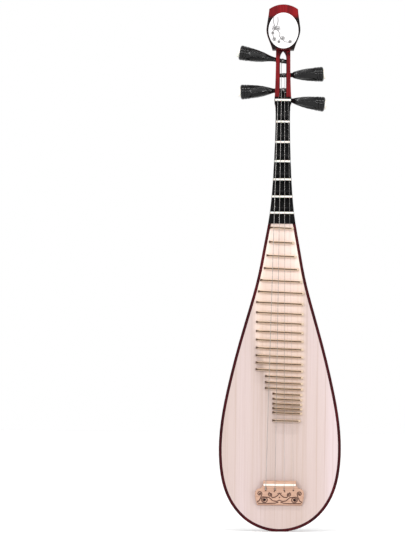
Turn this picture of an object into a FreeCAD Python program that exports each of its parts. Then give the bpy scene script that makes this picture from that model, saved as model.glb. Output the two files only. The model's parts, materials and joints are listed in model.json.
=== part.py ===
"""Pipa: four-stringed lute with a hollowed back, six neck frets and twenty-four bamboo frets.

Millimetres. +Z runs along the instrument, head up. The front faces -Y. The soundboard's front
lies in y = 0 and the centre plane is x = 0. z = 0 is the small flat that the body stands on.
"""
import FreeCAD, Part
import math
import os

V = FreeCAD.Vector

# Half length of the blanks that are trimmed to shape, longer than any piece is wide or deep
REACH = 60.0

# Body and neck: half width against height, then depth from front to back against height.
# The outline's tip is a little below z = 0, where the flat that it stands on cuts it off.
BODY_EDGE = [(0, -0.6), (36, 5.8), (60, 17.6), (85, 40.6), (105, 75.4), (116, 121.8), (118, 150),
             (114.2, 215), (101.3, 284), (84.1, 354), (64.4, 423.5), (45.8, 493), (32.7, 563),
             (26.3, 597.5), (20.5, 645), (16.4, 712), (14.4, 765), (14.0, 810)]
BODY_DEPTH = [(0, 15), (15, 21), (60, 31), (120, 38), (190, 41.5), (270, 40.5), (350, 37.5),
              (450, 32.5), (550, 28.5), (600, 27), (700, 25.5), (810, 25)]
SECTION_POWER = 2.3
SKIN_ROWS = 36
SKIN_COLUMNS = 14
ROW_CROWDING = 1.3
RIM_WIDTH = 5.6
LEDGE_WIDTH = 4.0
BACK_WALL = 5.5
CAVITY_TOP = 560.0
BOARD_THICKNESS = 5.0
BOARD_TOP = 598.0
GLUE_GAP = 0.1

# Scale of the strings
NUT_Z = 834.5
SADDLE_Z = 90.7
STRING_LENGTH = NUT_Z - SADDLE_Z
NUT_STRING_Y = -19.9
SADDLE_STRING_Y = -18.4
STRING_DIAMETERS = [0.35, 0.6, 0.8, 1.05]
NUT_SPACING = 6.6
SADDLE_SPACING = 17.8
GROOVE_GAP = 0.05

# Neck frets (xiang)
XIANG_SEMITONES = [1, 2, 3, 4, 5, 6]
XIANG_FOOT_Z = 595.6
XIANG_VALLEY = 3.0
FLANK_HOLLOW = 0.13
WEDGE_HEIGHTS = [590, 630, 680, 740, 800, 841]
RIDGE_THICKNESS = 3.8
RIDGE_HEIGHT = 2.5
XIANG_SIDE_TAPER = 1.2
FIRST_CLEARANCE = 1.0
LAST_CLEARANCE = 4.5

# Bamboo frets (pin): left and right ends at the base, and how far each end slopes in
PIN_SEMITONES = list(range(7, 30)) + [31]
PIN_ENDS = ([(-23.4, 23.4), (-24.8, 24.8), (-29.3, 29.3), (-34.3, 34.3), (-41.0, 41.0), (-45.3, 45.3)]
            + [(-48.6, 44.2)] * 9 + [(-30.1, 44.2)] * 3 + [(-15.4, 43.0)] * 5 + [(-15.4, 40.0)])
PIN_LEFT_SLOPE = 6.0
PIN_RIGHT_SLOPE = 4.5
PIN_BASE = 5.0
PIN_TOP = 2.2
PIN_TILT = 2.3
LAST_PIN_TILT = 0.8

# Peg box and head
BOX_EDGE = [(14.1, 810), (14.6, 822), (16.0, 830), (15.9, 842), (14.7, 868), (14.1, 898), (13.9, 918),
            (13.9, 931)]
BOX_FLAT_TOP = 841.0
BOX_FRONT = [(841, 0), (856, 1.6), (884, 7), (908, 13), (931, 19)]
BOX_BACK = [(810, 25), (830, 27.5), (865, 31.5), (900, 37), (931, 43)]
BOX_BOTTOM = 810.0
BOX_TOP = 931.0
BOX_ROUNDING = 4.0
SLOT_HALF = 6.1
SLOT_BOTTOM = 824.0
SLOT_THROUGH_FROM = 850.0
SLOT_FLOOR_Y = 22.5
SLOT_SHOULDER = 916.0
SLOT_TIP = 929.5
TENON_HALF = 5.0
TENON_FRONT = 7.0
TENON_BACK = 18.0
TENON_LENGTH = 28.0
HEAD_EDGE = [(20.6, 931), (22.6, 938), (25.2, 945), (28.5, 953), (31.2, 961), (32.7, 970), (31.8, 981),
             (29.0, 1000), (27.8, 1011)]
HEAD_TOP = 1020.0
HEAD_FRONT_Y = 7.0
HEAD_BACK = [(931, 43), (950, 44), (980, 40), (1008, 31), (1020, 26)]
HEAD_BEVEL = 2.2
PLATE_HALF_WIDTH = 29.0
PLATE_HALF_HEIGHT = 34.6
PLATE_CENTRE_Z = 969.4
PLATE_THICKNESS = 3.5
PLATE_RECESS = 1.5

# Nut and its block
NUT_HALF = 15.0
NUT_THICKNESS = 4.0
NUT_SEAT_Y = -11.0
NUT_FRONT_Y = -20.0
BLOCK_HALF = 16.3
BLOCK_FOOT_HALF = 14.3
BLOCK_SHOULDER_Z = 827.0
BLOCK_TOP_Y = -4.0
OVER_BLOCK_Y = (-4.2, 0.4)

# Bridge
BRIDGE_TOP = 98.6
BRIDGE_BOTTOM = 51.0
BRIDGE_EDGE = [(31.5, 98.6), (32.3, 91), (36, 84.5), (42.2, 82.5), (46.4, 78), (47.2, 70), (45.7, 60),
               (43.2, 51)]
BRIDGE_BACK_Y = -13.0
BRIDGE_FRONT_Y = -4.6
BRIDGE_SURFACE = [(96.8, -14.5), (88.6, -16.0), (76, -12.2), (63, -8.4), (53, -6.2)]
SADDLE_HALF = 31.0
SADDLE_THICKNESS = 3.8
SADDLE_SEAT_Y = -12.0
SADDLE_FRONT_Y = -18.5
ANCHOR_Z = 80.0
ANCHOR_DEPTH_Y = -7.0
ANCHOR_RADIUS = 1.2
DOT_X = 28.5
DOT_Z = 61.9
DOT_RADIUS = 1.9
DOT_DEPTH = 2.0
SOUND_HOLE_RADIUS = 6.0
SOUND_HOLE_Z = 74.0
CHANNEL_DEPTH = 3.0
CHANNEL_END_Z = 40.0
STRING_MOUTH_Y = -15.6
STRING_MOUTH_RISE = 0.6

# Inside the body
BAR_WIDTH = 8.0
BAR_HEIGHT = 12.0
BAR_END_GAP = 4.0
BAR_HEIGHTS = {"sound_bar_upper": 400.0, "sound_bar_lower": 255.0}
POST_RADIUS = 4.0
POST_X = 22.0
POST_Z = 128.0

# Pegs: string served, side (+1 right), height on the centre plane, rise towards the handle, reach
PEGS = {
    "peg_1": {"string": 1, "side": 1, "z": 835.9, "rise": -6.2, "reach": 85.6, "arrive": 2.5},
    "peg_2": {"string": 2, "side": 1, "z": 882.9, "rise": 2.2, "reach": 82.4, "arrive": 3.3},
    "peg_3": {"string": 3, "side": -1, "z": 910.6, "rise": 10.8, "reach": 90.1, "arrive": 3.3},
    "peg_4": {"string": 4, "side": -1, "z": 853.9, "rise": -3.0, "reach": 86.2, "arrive": 2.5},
}
SHAFT_RADIUS = 4.3
SHAFT_AT = 15.0
SHAFT_TAPER = 1 / 60
SHAFT_NECK = 18.0
SHAFT_TIP = -14.0
BORE_GAP = 0.05
HANDLE = [(62, 6.2), (56, 8.0), (49, 9.8), (41, 11.4), (34, 12.5), (24, 13.5), (14, 14.1), (8, 14.4)]
HANDLE_END = 4.2
HANDLE_END_RADIUS = 11.6
CAP_RADIUS = 9.6
CAP_ROUNDING = 1.8
RING_PLACES = [11.5, 16.5]
RING_SIZE = 0.7
FLUTE_COUNT = 8
FLUTE_RADIUS = 3.2
FLUTE_DEPTH = 0.9
FLUTE_SPAN = (50, 21)
WINDING_TURNS = 4
WINDING_GAP = 0.45
CLEAR_OF_SHAFT = 0.3

solids = {}


def keep(name, shape):
    """Add one finished sub-part."""
    solids[name] = shape


def smooth_value(table, at):
    """Smooth curve through a table of (place, value) pairs, read at one place."""
    last = len(table) - 1
    index = 0
    while index < last - 1 and at > table[index + 1][0]:
        index += 1

    def slope(i):
        low = max(i - 1, 0)
        high = min(i + 1, last)
        return (table[high][1] - table[low][1]) / (table[high][0] - table[low][0])

    (x0, y0), (x1, y1) = table[index], table[index + 1]
    width = x1 - x0
    t = (at - x0) / width
    start = (2 * t ** 3 - 3 * t ** 2 + 1) * y0 + (t ** 3 - 2 * t ** 2 + t) * width * slope(index)
    end = (3 * t ** 2 - 2 * t ** 3) * y1 + (t ** 3 - t ** 2) * width * slope(index + 1)
    return start + end


def spline(points):
    """Smooth edge through the points."""
    curve = Part.BSplineCurve()
    curve.interpolate(points)
    return curve.toShape()


def polygon(points):
    """Closed wire of straight edges."""
    return Part.makePolygon(points + [points[0]])


def prism(wire, along):
    """Solid swept straight from a flat closed wire."""
    return Part.Face(wire).extrude(along)


def mirrored_wire(edges, closing):
    """Close a set of right-hand edges with their mirror images and the edges that join both."""
    left = [edge.mirror(V(0, 0, 0), V(1, 0, 0)) for edge in edges]
    return Part.Wire(Part.__sortEdges__(edges + left + closing))


def edge_curve():
    """Whole outline of the body and neck, with the tip halfway along it."""
    curve = Part.BSplineCurve()
    left = [V(-x, 0, z) for x, z in reversed(BODY_EDGE[1:])]
    curve.interpolate(left + [V(x, 0, z) for x, z in BODY_EDGE])
    return curve


def tip_place(curve):
    """Where along the outline the tip is."""
    return (curve.FirstParameter + curve.LastParameter) / 2


def inset_point(curve, at, inset):
    """Point of the outline moved inwards, square to the outline."""
    point = curve.value(at)
    along = curve.tangent(at)[0]
    return V(point.x - along.z * inset, 0, point.z + along.x * inset)


def place_at_height(curve, height, inset):
    """Where along the outline the inset point reaches a height."""
    low, high = tip_place(curve), curve.LastParameter
    for _ in range(40):
        middle = (low + high) / 2
        if inset_point(curve, middle, inset).z < height:
            low = middle
        else:
            high = middle
    return (low + high) / 2


def outline_points(inset, top):
    """Points up the inset outline from the tip to a height, closer together near the tip."""
    curve = edge_curve()
    start = tip_place(curve)
    end = place_at_height(curve, top, inset) if top < BODY_EDGE[-1][1] else curve.LastParameter
    steps = [(row / SKIN_ROWS) ** ROW_CROWDING for row in range(SKIN_ROWS + 1)]
    points = [inset_point(curve, start + (end - start) * step, inset) for step in steps]
    points[0].x = 0
    points[-1].z = top
    return points


def half_width(height, inset=0):
    """Half width of the body at a height."""
    curve = edge_curve()
    return inset_point(curve, place_at_height(curve, height, inset), inset).x


def bowl(inset, top, wall):
    """Solid bounded by the flat front and the rounded back, moved inwards by inset and wall."""
    rows = []
    for point in outline_points(inset, top):
        depth = smooth_value(BODY_DEPTH, point.z) - wall
        row = []
        for column in range(SKIN_COLUMNS + 1):
            angle = math.pi / 2 * column / SKIN_COLUMNS
            across = max(math.cos(angle), 0) ** (2 / SECTION_POWER) if column < SKIN_COLUMNS else 0
            row.append(V(point.x * across, depth * math.sin(angle) ** (2 / SECTION_POWER), point.z))
        rows.append(row)
    skin = Part.BSplineSurface()
    skin.interpolate(rows)
    right = skin.toShape()
    left = right.mirror(V(0, 0, 0), V(1, 0, 0))
    front_edges = [e for e in right.Edges + left.Edges if e.BoundBox.YMax < 1e-3]
    top_edges = [e for e in right.Edges + left.Edges if e.BoundBox.ZMin > top - 1e-3]
    corner = front_edges[0].BoundBox.ZMax
    width = rows[-1][0].x
    joint = Part.makeLine(V(-width, 0, corner), V(width, 0, corner))
    front = Part.Face(Part.Wire(Part.__sortEdges__(front_edges + [joint])))
    end = Part.Face(Part.Wire(Part.__sortEdges__(top_edges + [joint])))
    shell = Part.makeShell([right, left, front, end])
    shell.sewShape()
    solid = Part.Solid(Part.Shell(shell.Faces))
    if solid.Volume < 0:
        solid.reverse()
    return solid


def board_blank(inset):
    """Flat plate filling the front of the body inside the rim."""
    points = outline_points(inset, BOARD_TOP)
    edge = spline(points)
    top = Part.makeLine(V(-points[-1].x, 0, BOARD_TOP), V(points[-1].x, 0, BOARD_TOP))
    return prism(mirrored_wire([edge], [top]), V(0, BOARD_THICKNESS, 0))


def tenon(gap):
    """Joint between the peg box and the neck."""
    width = 2 * (TENON_HALF + gap)
    depth = TENON_BACK - TENON_FRONT + 2 * gap
    corner = V(-width / 2, TENON_FRONT - gap, BOX_BOTTOM - TENON_LENGTH - gap)
    return Part.makeBox(width, depth, TENON_LENGTH + gap + 1, corner)


def make_body():
    """Hollowed back and neck in one piece, the soundboard, and what is glued inside."""
    cavity = bowl(RIM_WIDTH + LEDGE_WIDTH, CAVITY_TOP, BACK_WALL)
    below = Part.makeBox(2 * REACH, 2 * REACH, REACH, V(-REACH, -REACH, -REACH))
    back = bowl(0, BODY_EDGE[-1][1], 0).cut([board_blank(RIM_WIDTH), cavity, tenon(GROOVE_GAP), below])
    keep("neck_and_back", back)
    hole = Part.makeCylinder(SOUND_HOLE_RADIUS, 3 * BOARD_THICKNESS,
                             V(0, -BOARD_THICKNESS, SOUND_HOLE_Z), V(0, 1, 0))
    keep("soundboard", board_blank(RIM_WIDTH + GLUE_GAP).cut(hole))
    for name, height in BAR_HEIGHTS.items():
        half = half_width(height, RIM_WIDTH + LEDGE_WIDTH) - BAR_END_GAP
        end = half - 1.5 * BAR_HEIGHT
        outline = polygon([V(-half, BOARD_THICKNESS, height), V(half, BOARD_THICKNESS, height),
                           V(end, BOARD_THICKNESS + BAR_HEIGHT, height),
                           V(-end, BOARD_THICKNESS + BAR_HEIGHT, height)])
        keep(name, prism(outline, V(0, 0, BAR_WIDTH)))
    post = Part.makeCylinder(POST_RADIUS, REACH, V(POST_X, BOARD_THICKNESS, POST_Z), V(0, 1, 0))
    keep("sound_post", post.common(cavity))


def fret_height(semitones):
    """Height up the instrument of the fret that raises a string by this many semitones."""
    return NUT_Z - STRING_LENGTH * (1 - 2 ** (-semitones / 12))


def string_y(height):
    """Front-to-back place of the strings' centres at a height."""
    share = (height - SADDLE_Z) / STRING_LENGTH
    return SADDLE_STRING_Y + share * (NUT_STRING_Y - SADDLE_STRING_Y)


def fret_top(height):
    """Front-to-back place of a fret's top, a little behind the strings."""
    share = (NUT_Z - height) / (NUT_Z - fret_height(PIN_SEMITONES[-1]))
    return string_y(height) + FIRST_CLEARANCE + share * (LAST_CLEARANCE - FIRST_CLEARANCE)


def neck_wedge():
    """Block over the neck's front whose sides close in a little towards the strings."""
    heights = WEDGE_HEIGHTS
    edge = [half_width(min(z, BOX_BOTTOM - 1)) for z in heights]

    def outline(y, inset):
        side = spline([V(x - inset, y, z) for x, z in zip(edge, heights)])
        ends = [Part.makeLine(V(-x + inset, y, z), V(x - inset, y, z))
                for x, z in ((edge[0], heights[0]), (edge[-1], heights[-1]))]
        return mirrored_wire([side], ends)

    return Part.makeLoft([outline(0, 0), outline(NUT_FRONT_Y, XIANG_SIDE_TAPER)], True, True)


def hollow_flank(low, high):
    """Concave curve between two points of a side profile."""
    chord = high.sub(low)
    out = V(0, -chord.z, chord.y) if chord.z < 0 else V(0, chord.z, -chord.y)
    middle = low.add(high).multiply(0.5).add(out.normalize().multiply(FLANK_HOLLOW * chord.Length))
    return Part.Arc(low, middle, high).toShape()


def make_xiangs():
    """Neck frets: ebony wedges with hollow flanks, each with a bone ridge let into its top."""
    wedge = neck_wedge()
    peaks = [fret_height(n) for n in XIANG_SEMITONES]
    valleys = [(a + b) / 2 for a, b in zip([NUT_Z] + peaks[:-1], peaks)] + [XIANG_FOOT_Z]
    ridges = []
    for index, peak in enumerate(peaks):
        top = fret_top(peak)
        shoulder = top + RIDGE_HEIGHT
        upper, lower = valleys[index], valleys[index + 1]
        half = RIDGE_THICKNESS / 2
        low = V(0, -XIANG_VALLEY, lower)
        high = V(0, -XIANG_VALLEY, upper)
        crest_low = V(0, shoulder, peak - half)
        crest_high = V(0, shoulder, peak + half)
        side = Part.Wire([Part.makeLine(V(0, 0, lower), low), hollow_flank(low, crest_low),
                          Part.makeLine(crest_low, crest_high), hollow_flank(crest_high, high),
                          Part.makeLine(high, V(0, 0, upper)),
                          Part.makeLine(V(0, 0, upper), V(0, 0, lower))])
        side.translate(V(-REACH, 0, 0))
        keep("xiang_%d" % (index + 1), prism(side, V(2 * REACH, 0, 0)).common(wedge))
        crown = Part.Wire([Part.makeLine(crest_high, crest_low),
                           Part.Arc(crest_low, V(0, top, peak), crest_high).toShape()])
        crown.translate(V(-REACH, 0, 0))
        ridges.append(prism(crown, V(2 * REACH, 0, 0)).common(wedge))
    keep("xiang_ridges", Part.makeCompound(ridges))


def make_pins():
    """Bamboo frets: bars that narrow towards the strings, tilted a little to suit the thick strings."""
    for index, semitones in enumerate(PIN_SEMITONES):
        height = fret_height(semitones)
        left, right = PIN_ENDS[index]
        top = fret_top(height)

        def rectangle(y, left_end, right_end, thickness):
            return polygon([V(left_end, y, height - thickness / 2), V(right_end, y, height - thickness / 2),
                            V(right_end, y, height + thickness / 2), V(left_end, y, height + thickness / 2)])

        foot = rectangle(0, left, right, PIN_BASE)
        crest = rectangle(top, left + PIN_LEFT_SLOPE, right - PIN_RIGHT_SLOPE, PIN_TOP)
        pin = Part.makeLoft([foot, crest], True, True)
        tilt = LAST_PIN_TILT if semitones == PIN_SEMITONES[-1] else PIN_TILT
        pin.rotate(V(0, 0, height), V(0, 1, 0), tilt)
        keep("pin_%02d" % (index + 1), pin)


def make_peg_box():
    """Peg box with its open slot, peg bores and the tenon into the neck."""
    right = spline([V(x, 0, z) for x, z in BOX_EDGE])
    ends = [Part.makeLine(V(-x, 0, z), V(x, 0, z)) for x, z in (BOX_EDGE[0], BOX_EDGE[-1])]
    block = prism(mirrored_wire([right], ends), V(0, REACH, 0))
    front_points = [V(0, y, z) for z, y in BOX_FRONT]
    back_points = [V(0, y, z) for z, y in BOX_BACK]
    flat = V(0, 0, BOX_BOTTOM)
    side = Part.Wire([Part.makeLine(flat, front_points[0]), spline(front_points),
                      Part.makeLine(front_points[-1], back_points[-1]),
                      spline(back_points).reversed(), Part.makeLine(back_points[0], flat)])
    side.translate(V(-REACH, 0, 0))
    box = block.common(prism(side, V(2 * REACH, 0, 0)))
    rear = [e for e in box.Edges
            if e.BoundBox.YMin > 20 and e.BoundBox.ZLength > 50 and abs(e.CenterOfMass.x) > 5]
    box = box.makeFillet(BOX_ROUNDING, rear)
    box = box.cut(make_slot()).fuse(tenon(0)).removeSplitter()
    for name in PEGS:
        box = box.cut(placed_on_peg(shaft(BORE_GAP, SHAFT_TIP - 12, SHAFT_AT + 12), name))
    keep("peg_box", box)


def make_slot():
    """Space for the pegs' shafts: through to the back, with a closed floor in its lower end."""
    arch_side = Part.Arc(V(SLOT_HALF, 0, SLOT_SHOULDER),
                         V(SLOT_HALF * 0.68, 0, (SLOT_SHOULDER + 1.4 * SLOT_TIP) / 2.4),
                         V(0, 0, SLOT_TIP)).toShape()
    wall = Part.makeLine(V(SLOT_HALF, 0, SLOT_THROUGH_FROM), V(SLOT_HALF, 0, SLOT_SHOULDER))
    sill = Part.makeLine(V(-SLOT_HALF, 0, SLOT_THROUGH_FROM), V(SLOT_HALF, 0, SLOT_THROUGH_FROM))
    through = prism(mirrored_wire([wall, arch_side], [sill]), V(0, REACH, 0))
    lower = Part.makeBox(2 * SLOT_HALF, SLOT_FLOOR_Y + 1, SLOT_THROUGH_FROM - SLOT_BOTTOM + 1,
                         V(-SLOT_HALF, -1, SLOT_BOTTOM))
    return through.fuse(lower)


def make_head():
    """Head block and the oval plate let into its front."""
    right = spline([V(x, 0, z) for x, z in HEAD_EDGE])
    corner = V(HEAD_EDGE[-1][0], 0, HEAD_EDGE[-1][1])
    arch = Part.Arc(corner, V(0, 0, HEAD_TOP), V(-corner.x, 0, corner.z)).toShape()
    foot = Part.makeLine(V(-HEAD_EDGE[0][0], 0, BOX_TOP), V(HEAD_EDGE[0][0], 0, BOX_TOP))
    block = prism(mirrored_wire([right], [arch, foot]), V(0, REACH, 0))
    back_points = [V(0, y, z) for z, y in HEAD_BACK]
    seat = V(0, BOX_FRONT[-1][1], BOX_TOP)
    chin = V(0, HEAD_FRONT_Y, BOX_TOP + 2)
    brow = V(0, HEAD_FRONT_Y, HEAD_TOP)
    side = Part.Wire([Part.makeLine(back_points[0], seat), Part.makeLine(seat, chin),
                      Part.makeLine(chin, brow), Part.makeLine(brow, back_points[-1]),
                      spline(back_points).reversed()])
    side.translate(V(-REACH, 0, 0))
    head = block.common(prism(side, V(2 * REACH, 0, 0)))
    face_edges = [e for e in head.Edges if e.BoundBox.YMax < HEAD_FRONT_Y + 0.01 and e.BoundBox.ZMax > 940]
    head = head.makeChamfer(HEAD_BEVEL, face_edges)
    keep("head_block", head.cut(plate(0, HEAD_FRONT_Y + PLATE_RECESS)))
    blank = plate(GLUE_GAP, HEAD_FRONT_Y + PLATE_RECESS)
    rim = [e for e in blank.Edges if e.BoundBox.YMax < HEAD_FRONT_Y - 1]
    keep("head_plate", blank.makeChamfer(0.8, rim))


def plate(inset, back_y):
    """Upright oval plate."""
    oval = Part.Ellipse(V(0, 0, 0), PLATE_HALF_HEIGHT - inset, PLATE_HALF_WIDTH - inset).toShape()
    oval.rotate(V(0, 0, 0), V(0, 1, 0), 90)
    oval.rotate(V(0, 0, 0), V(0, 0, 1), 90)
    oval.translate(V(0, back_y - PLATE_THICKNESS, PLATE_CENTRE_Z))
    return prism(Part.Wire([oval]), V(0, PLATE_THICKNESS, 0))


def string_end_x(number, spacing):
    """Sideways place of a string; string 1 is the thinnest and on the right."""
    return (2.5 - number) * spacing


def peg_centre(name):
    """Where a peg's axis crosses the centre plane, midway through the peg box."""
    z = PEGS[name]["z"]
    front = smooth_value(BOX_FRONT, z) if z > BOX_FLAT_TOP else 0
    return V(0, (front + smooth_value(BOX_BACK, z)) / 2, z)


def placed_on_peg(shape, name):
    """Move a shape made along +X from the origin onto a peg's axis."""
    peg = PEGS[name]
    moved = shape.copy()
    if peg["side"] < 0:
        moved.rotate(V(0, 0, 0), V(0, 0, 1), 180)
    moved.rotate(V(0, 0, 0), V(0, 1, 0), -peg["side"] * peg["rise"])
    moved.translate(peg_centre(name))
    return moved


def shaft_radius(along):
    """Radius of the tapered peg shaft."""
    return SHAFT_RADIUS + (along - SHAFT_AT) * SHAFT_TAPER


def shaft(gap, start, end):
    """Tapered round shaft along +X, larger by gap."""
    return Part.makeCone(shaft_radius(start) + gap, shaft_radius(end) + gap, end - start,
                         V(start, 0, 0), V(1, 0, 0))


def turned(edges):
    """Solid turned about the X axis from edges of half a section."""
    return Part.Face(Part.Wire(edges)).revolve(V(0, 0, 0), V(1, 0, 0), 360)


def make_peg(name):
    """Peg with a tapered shaft and a fluted handle, and its bone cap."""
    reach = PEGS[name]["reach"]
    tip = V(SHAFT_TIP, 0, 0)
    tip_edge = V(SHAFT_TIP, shaft_radius(SHAFT_TIP), 0)
    neck = V(SHAFT_NECK, shaft_radius(SHAFT_NECK), 0)
    swell = [neck] + [V(reach - place, radius, 0) for place, radius in HANDLE]
    end = V(reach - HANDLE_END, HANDLE_END_RADIUS, 0)
    shoulder = V(end.x - 0.9, (end.y + 2 * swell[-1].y) / 3, 0)
    centre = V(end.x, 0, 0)
    body = turned([Part.makeLine(tip, tip_edge), Part.makeLine(tip_edge, neck), spline(swell),
                   Part.Arc(swell[-1], shoulder, end).toShape(), Part.makeLine(end, centre),
                   Part.makeLine(centre, tip)])
    for place in RING_PLACES:
        body = body.cut(Part.makeTorus(HANDLE[-1][1] + 0.1, RING_SIZE, V(reach - place, 0, 0), V(1, 0, 0)))
    for index in range(FLUTE_COUNT):
        body = body.cut(flute(reach, 360 * index / FLUTE_COUNT))
    keep(name, placed_on_peg(body, name))
    cap_end = V(reach, CAP_RADIUS - CAP_ROUNDING, 0)
    cap_side = V(reach - CAP_ROUNDING, CAP_RADIUS, 0)
    bend = V(reach - 0.3 * CAP_ROUNDING, CAP_RADIUS - 0.3 * CAP_ROUNDING, 0)
    cap = turned([Part.makeLine(centre, V(end.x, CAP_RADIUS, 0)),
                  Part.makeLine(V(end.x, CAP_RADIUS, 0), cap_side),
                  Part.Arc(cap_side, bend, cap_end).toShape(),
                  Part.makeLine(cap_end, V(reach, 0, 0)), Part.makeLine(V(reach, 0, 0), centre)])
    keep(name.replace("peg", "peg_cap"), placed_on_peg(cap, name))


def flute(reach, turn):
    """Round-bottomed groove down the swelling part of a handle."""
    first, last = FLUTE_SPAN
    table = [(place, radius) for place, radius in reversed(HANDLE)]
    start = V(reach - first, smooth_value(table, first) + FLUTE_RADIUS - FLUTE_DEPTH, 0)
    end = V(reach - last, smooth_value(table, last) + FLUTE_RADIUS - FLUTE_DEPTH, 0)
    run = end.sub(start)
    groove = Part.makeCylinder(FLUTE_RADIUS, run.Length, start, run)
    tips = [Part.makeSphere(FLUTE_RADIUS, at) for at in (start, end)]
    groove = groove.fuse(tips)
    groove.rotate(V(0, 0, 0), V(1, 0, 0), turn)
    return groove


def peg_direction(name):
    """Unit direction along a peg, towards its handle."""
    peg = PEGS[name]
    rise = math.radians(peg["rise"])
    return V(peg["side"] * math.cos(rise), 0, math.sin(rise))


def make_winding(name):
    """Turns of string laid side by side round a peg's shaft, beginning just inside its fixed run."""
    peg = PEGS[name]
    diameter = STRING_DIAMETERS[peg["string"] - 1]
    arrival = string_points(name)[-1].sub(peg_centre(name)).dot(peg_direction(name))
    start = arrival - diameter / 2 - WINDING_GAP
    inner = shaft_radius(start) + GROOVE_GAP
    middle = inner + diameter / 2
    edges = []
    for turn in range(WINDING_TURNS):
        right = start - turn * diameter
        crown = V(right - diameter / 2, middle + diameter / 2, 0)
        edges.append(Part.Arc(V(right, middle, 0), crown, V(right - diameter, middle, 0)).toShape())
    end = start - WINDING_TURNS * diameter
    corners = [V(end, middle, 0), V(end, inner, 0), V(start, inner, 0), V(start, middle, 0)]
    edges += [Part.makeLine(a, b) for a, b in zip(corners[:-1], corners[1:])]
    keep("winding_%d" % peg["string"], placed_on_peg(turned(edges), name))


def string_points(name):
    """Route of one string, from its anchor in the bridge to its peg."""
    peg = PEGS[name]
    number = peg["string"]
    radius = STRING_DIAMETERS[number - 1] / 2
    bridge_x = string_end_x(number, SADDLE_SPACING)
    nut_x = string_end_x(number, NUT_SPACING)
    points = [V(bridge_x, ANCHOR_DEPTH_Y - 1, ANCHOR_Z),
              V(bridge_x, STRING_MOUTH_Y, ANCHOR_Z + STRING_MOUTH_RISE),
              V(bridge_x, SADDLE_STRING_Y, SADDLE_Z), V(nut_x, NUT_STRING_Y, NUT_Z)]
    centre = peg_centre(name)
    arrive_x = peg["side"] * peg["arrive"]
    if centre.z < BOX_FLAT_TOP:
        over = BOX_FLAT_TOP + radius + GROOVE_GAP
        for y in OVER_BLOCK_Y:
            share = (y - NUT_STRING_Y) / (centre.y - NUT_STRING_Y)
            points.append(V(nut_x + share * (arrive_x - nut_x), y, over))
    last = points[-1]
    to_peg = V(0, centre.y - last.y, centre.z + math.tan(math.radians(peg["rise"])) * peg["arrive"] - last.z)
    reach = shaft_radius(peg["arrive"]) + radius + CLEAR_OF_SHAFT
    angle = math.atan2(to_peg.z, to_peg.y) + math.asin(reach / to_peg.Length)
    length = math.sqrt(to_peg.Length ** 2 - reach ** 2)
    points.append(V(arrive_x, last.y + length * math.cos(angle), last.z + length * math.sin(angle)))
    return points


def cord(points, radius):
    """Round cord along straight runs with mitred bends."""
    start = points[0]
    circle = Part.Wire([Part.makeCircle(radius, start, points[1].sub(start))])
    return Part.makePolygon(points).makePipeShell([circle], True, False, 1)


def make_strings():
    """The four strings, each from the bridge over the saddle and the nut to its peg."""
    for name, peg in PEGS.items():
        radius = STRING_DIAMETERS[peg["string"] - 1] / 2
        keep("string_%d" % peg["string"], cord(string_points(name), radius))


def string_grooves():
    """What the strings take out of the parts they lie on."""
    return [cord(string_points(name), STRING_DIAMETERS[peg["string"] - 1] / 2 + GROOVE_GAP)
            for name, peg in PEGS.items()]


def make_nut():
    """Bone nut and the ebony block it is seated on."""
    half = NUT_THICKNESS / 2
    heel = NUT_FRONT_Y + 1.5
    nut_side = Part.Wire([Part.makeLine(V(0, NUT_SEAT_Y, NUT_Z + half), V(0, NUT_SEAT_Y, NUT_Z - half)),
                          Part.makeLine(V(0, NUT_SEAT_Y, NUT_Z - half), V(0, heel, NUT_Z - half)),
                          Part.Arc(V(0, heel, NUT_Z - half), V(0, NUT_FRONT_Y - 0.4, NUT_Z),
                                   V(0, heel, NUT_Z + half)).toShape(),
                          Part.makeLine(V(0, heel, NUT_Z + half), V(0, NUT_SEAT_Y, NUT_Z + half))])
    nut_side.translate(V(-NUT_HALF, 0, 0))
    keep("nut", prism(nut_side, V(2 * NUT_HALF, 0, 0)).cut(string_grooves()))
    foot = (NUT_Z + fret_height(1)) / 2
    low = V(0, -XIANG_VALLEY, foot)
    shoulder = V(0, -15.5, NUT_Z - half)
    path = [V(0, -15.0, NUT_Z + half), V(0, BLOCK_TOP_Y, BOX_FLAT_TOP), V(0, 0, BOX_FLAT_TOP), V(0, 0, foot)]
    seat = [shoulder, V(0, NUT_SEAT_Y, NUT_Z - half), V(0, NUT_SEAT_Y, NUT_Z + half)]
    side = Part.Wire([Part.makeLine(V(0, 0, foot), low), hollow_flank(low, shoulder)]
                     + [Part.makeLine(a, b) for a, b in zip(seat + path[:-1], seat[1:] + path)])
    side.translate(V(-REACH, 0, 0))
    outline = polygon([V(-BLOCK_FOOT_HALF, 0, foot - 1), V(BLOCK_FOOT_HALF, 0, foot - 1),
                       V(BLOCK_FOOT_HALF, 0, BLOCK_SHOULDER_Z - 2), V(BLOCK_HALF, 0, BLOCK_SHOULDER_Z),
                       V(BLOCK_HALF, 0, BOX_FLAT_TOP + 1), V(-BLOCK_HALF, 0, BOX_FLAT_TOP + 1),
                       V(-BLOCK_HALF, 0, BLOCK_SHOULDER_Z), V(-BLOCK_FOOT_HALF, 0, BLOCK_SHOULDER_Z - 2)])
    block = prism(side, V(2 * REACH, 0, 0)).common(prism(outline, V(0, -REACH, 0)))
    keep("nut_block", block.cut(string_grooves()))


def bridge_outline():
    """Front view of the bridge: a straight top that sweeps out into two rounded ears."""
    right = spline([V(x, 0, z) for x, z in BRIDGE_EDGE])
    ends = [Part.makeLine(V(-x, 0, z), V(x, 0, z)) for x, z in (BRIDGE_EDGE[0], BRIDGE_EDGE[-1])]
    return mirrored_wire([right], ends)


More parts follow.
